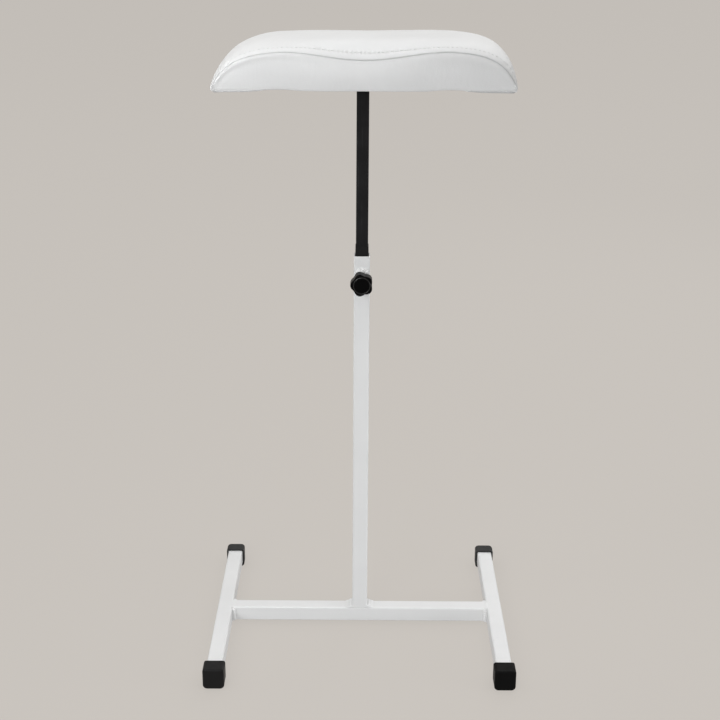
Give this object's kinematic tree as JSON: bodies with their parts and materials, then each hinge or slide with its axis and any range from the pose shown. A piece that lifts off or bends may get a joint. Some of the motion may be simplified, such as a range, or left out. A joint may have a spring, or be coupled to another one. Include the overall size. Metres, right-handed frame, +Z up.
{
  "type": "pedicure footrest",
  "caption": "Free-standing pedicure footrest: padded white rest on a black square column that slides in a white post on an H base and is clamped by a star knob.",
  "frame": {"origin": "on the floor, under the middle of the base", "axes": "+Z up; -Y towards the side with the knob; +X to the right seen from that side"},
  "size_m": [0.391, 0.335, 0.7832],
  "materials": {
    "white_powder_coat": "satin powder coat",
    "black_powder_coat": "satin powder coat",
    "black_plastic": "satin moulded plastic",
    "cap_plastic": "matte moulded plastic",
    "zinc_steel": "zinc plated",
    "plywood": "raw plywood",
    "foam": "open foam",
    "white_leatherette": "fine-grained leatherette"
  },
  "bodies": {
    "base": {"left_leg": "white_powder_coat", "right_leg": "white_powder_coat", "cross_bar": "white_powder_coat", "post": "white_powder_coat", "clamp_nut": "white_powder_coat", "front_left_cap": "cap_plastic", "front_right_cap": "cap_plastic", "rear_left_cap": "cap_plastic", "rear_right_cap": "cap_plastic", "guide_bush": "black_plastic"},
    "column": {"inner_tube": "black_powder_coat", "lower_guide_plug": "black_plastic", "cushion_plate": "black_powder_coat", "plate_screw_1": "zinc_steel", "plate_screw_2": "zinc_steel", "plate_screw_3": "zinc_steel", "plate_screw_4": "zinc_steel", "cushion_board": "plywood", "foam_core": "foam", "cover_top_panel": "white_leatherette", "cover_front_panel": "white_leatherette", "cover_rear_panel": "white_leatherette"},
    "clamp_screw": {"clamp_stud": "zinc_steel"},
    "knob": {"star_knob": "black_plastic", "knob_cap": "black_plastic"}
  },
  "joints": [
    {"name": "height_slide", "type": "slide", "parent": "base", "child": "column", "axis": [0, 0, 1], "range_m": [-0.193, 0.06]},
    {"name": "screw_advance", "type": "slide", "parent": "base", "child": "clamp_screw", "axis": [0, -1, 0], "range_m": [0, 0.0025]},
    {"name": "knob_turn", "type": "hinge", "parent": "clamp_screw", "child": "knob", "pos_m": [0, -0.0195, 0.4883], "axis": [0, -1, 0], "range_deg": [0, 720]}
  ],
  "couplings": [
    {"joint": "knob_turn", "follows": "screw_advance", "rad_per_m": 5026.5}
  ]
}
